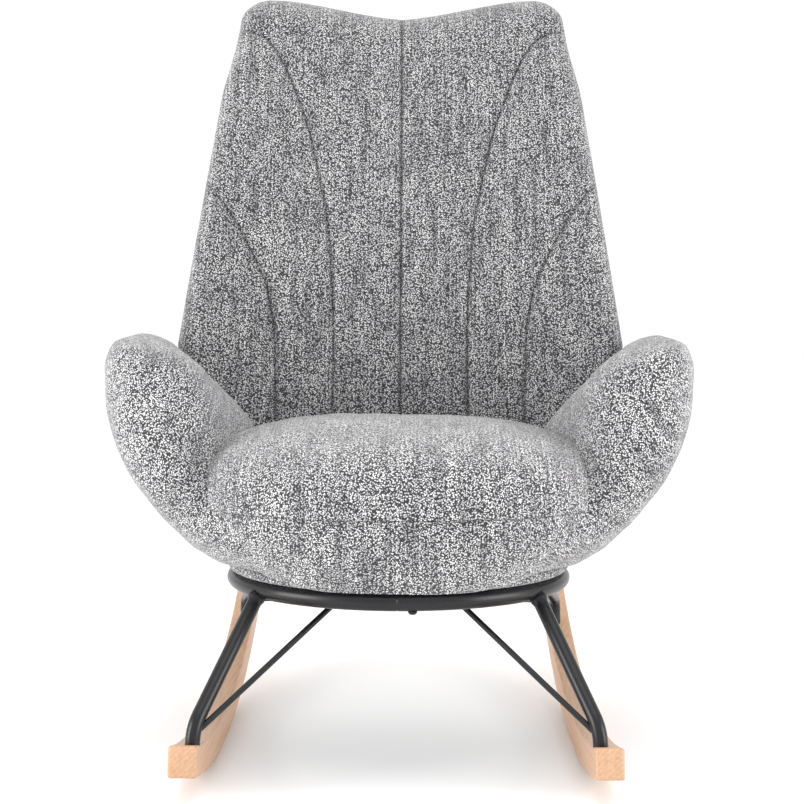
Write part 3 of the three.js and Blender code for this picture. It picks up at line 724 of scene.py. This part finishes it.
def makeLeg(name, node, jointDegrees, foot, side):  # tube whose radius swells by a bell curve at its weld
    path = legPath(jointDegrees, foot, side)
    fromTop = np.linalg.norm(path - path[0], axis=1)
    weld = 0.0022 * np.exp(-((fromTop - 0.0125) / 0.0035) ** 2)
    grid = tubeAlong(path, frameTube["leg"] + weld, 28, [1, 0, 0])
    addPiece(name, grid, blackSteel, [node])


def makeBar(name, node, start, end, radius, reference, sides=24):  # straight tube between two points
    steps = np.linspace(0, 1, 30)[:, None]
    path = np.array(start) + (np.array(end) - np.array(start)) * steps
    addPiece(name, tubeAlong(path, radius, sides, reference), blackSteel, [node])


makeRing()
rearDegrees = 180 - frameTube["jointDegrees"]
for word, side in (("Left", 1), ("Right", -1)):
    lower = word.lower()
    makeLeg("frontLeg" + word, "front_leg_" + lower, frameTube["jointDegrees"], frontFoot, side)
    makeLeg("rearLeg" + word, "rear_leg_" + lower, rearDegrees, rearFoot, side)
    rodLow = (side * frontFoot["x"], frontFoot["y"], frameTube["rodLegZ"])
    rodHigh = (side * frameTube["rodBarX"], onRing(frameTube["jointDegrees"])[1], frameTube["barZ"])
    makeBar("braceRod" + word, "brace_rod_" + lower, rodLow, rodHigh, frameTube["rod"], [0, 1, 0], 18)
for word, degrees in (("front", frameTube["jointDegrees"]), ("rear", rearDegrees)):
    end = onRing(degrees)
    end[2] = frameTube["barZ"]
    makeBar(word + "CrossBar", word + "_cross_bar", end * [-1, 1, 1], end, frameTube["bar"], [0, 0, 1])
print("steel made")


def makeRocker(name, node, side):  # a rounded rectangle carried along an arc, with eased ends
    run = np.concatenate([[0, 0.0004, 0.0012, 0.0022, 0.0034], np.linspace(0.006, 1 - 0.006, 90),
                          [1 - 0.0034, 1 - 0.0022, 1 - 0.0012, 1 - 0.0004, 1]])
    y = rocker["front"] + run * (rocker["rear"] - rocker["front"])
    fromEnd = np.minimum(run, 1 - run) * (rocker["rear"] - rocker["front"])
    ease = rocker["edge"] * (1 - roundedIn(fromEnd, rocker["edge"]))
    slope = np.arcsin((y - rocker["lowY"]) / rocker["radius"])
    up = np.stack([0 * y, -np.sin(slope), np.cos(slope)], -1)
    middleX = side * (rocker["frontX"] - rocker["toeIn"] * (y - rocker["front"]))
    middle = np.stack([middleX, y, arcZ(y)], -1) + up * rocker["thick"] / 2
    c, s = roundedRectangle(rocker["wide"] / 2, rocker["thick"] / 2, rocker["edge"], 7)
    shrinkX = 1 - ease / (rocker["wide"] / 2)
    shrinkZ = 1 - ease / (rocker["thick"] / 2)
    grid = (middle[:, None] + (c[None] * shrinkX[:, None])[..., None] * np.array([1.0, 0, 0])
            + (s[None] * shrinkZ[:, None])[..., None] * up[:, None])
    addPiece(name, grid, rockerWood, [node])


def roundedRectangle(halfX, halfZ, radius, steps):  # four quarter circles joined by straight sides
    quarter = np.linspace(0, np.pi / 2, steps)
    signs = [(1, 1, 0), (-1, 1, 1), (-1, -1, 2), (1, -1, 3)]
    xs = [sx * (halfX - radius) + radius * np.cos(quarter + turn * np.pi / 2) for sx, _, turn in signs]
    zs = [sz * (halfZ - radius) + radius * np.sin(quarter + turn * np.pi / 2) for _, sz, turn in signs]
    return np.concatenate(xs), np.concatenate(zs)


makeRocker("rockerLeft", "rocker_left", 1)
makeRocker("rockerRight", "rocker_right", -1)
print("rockers made")


# finishes of the small pieces that are kept as they came, by a word in their names
keptFinish = {"plug": zinc, "rocker_bolt": zinc, "insert": zinc, "strap": zinc, "seat_bolt": blackSteel,
              "board": plywood, "dust_cover": lining}
for nodeName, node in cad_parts.items():
    if node.hide_render:
        continue
    found = [finish for word, finish in keptFinish.items() if word in nodeName]
    for materialSlot in node.material_slots:
        materialSlot.material = found[0]


stage = {"floorHalf": 12.0, "floorColour": (0.985, 0.985, 0.985, 1), "sky": 1.035, "aim": (0, 0, 0.4)}
lights = {  # place, size and power
    "keyAbove": ((0.2, -0.9, 3.0), (2.4, 2.2), 26),
    "sideLeft": ((-2.6, -1.2, 0.8), (1.6, 1.5), 55),
    "sideRight": ((2.6, -1.2, 0.8), (1.6, 1.5), 42),
}


def makeFloor():  # one large square at height 0
    half = stage["floorHalf"]
    mesh = bpy.data.meshes.new("floor")
    corners = [(-half, -half, 0), (half, -half, 0), (half, half, 0), (-half, half, 0)]
    mesh.from_pydata(corners, [], [(0, 1, 2, 3)])
    paint = Paint("paleFloor", Roughness=0.9)
    paint.shader.inputs["Base Color"].default_value = stage["floorColour"]
    mesh.materials.append(paint.material)
    floor = bpy.data.objects.new("floor", mesh)
    bpy.context.scene.collection.objects.link(floor)


def addLight(name, place, target, size, power):  # a soft rectangle of light turned towards the target
    light = bpy.data.lights.new(name, "AREA")
    light.shape = "RECTANGLE"
    light.size, light.size_y = size
    light.energy = power
    lamp = bpy.data.objects.new(name, light)
    lamp.rotation_mode = "QUATERNION"
    lamp.rotation_quaternion = (Vector(target) - Vector(place)).to_track_quat("-Z", "Y")
    lamp.location = place
    bpy.context.scene.collection.objects.link(lamp)


makeFloor()
world = bpy.data.worlds.new("softRoom")
world.use_nodes = True
world.node_tree.nodes["Background"].inputs["Color"].default_value = (1, 1, 1, 1)
world.node_tree.nodes["Background"].inputs["Strength"].default_value = stage["sky"]
bpy.context.scene.world = world
for lightName, (place, size, power) in lights.items():
    addLight(lightName, place, stage["aim"], size, power)
bpy.context.scene.view_settings.view_transform = "Standard"

camera = {"lens": 85.07, "sensor": 36, "shiftY": -0.1244, "pitch": 0.01612, "yaw": 0.00595, "roll": 0.00358,
          "x": 0.01742, "y": -2.39548, "z": 0.60249}
lens = bpy.data.cameras.new("camera")
lens.lens, lens.sensor_width, lens.shift_y = camera["lens"], camera["sensor"], camera["shiftY"]
lens.clip_start = 0.05
eye = bpy.data.objects.new("camera", lens)
turn = (Matrix.Rotation(camera["yaw"], 4, "Z") @ Matrix.Rotation(np.pi / 2 - camera["pitch"], 4, "X")
        @ Matrix.Rotation(camera["roll"], 4, "Z"))
eye.matrix_world = Matrix.Translation((camera["x"], camera["y"] + ringShift[1], camera["z"])) @ turn
bpy.context.scene.collection.objects.link(eye)
bpy.context.scene.camera = eye
print("stage made")
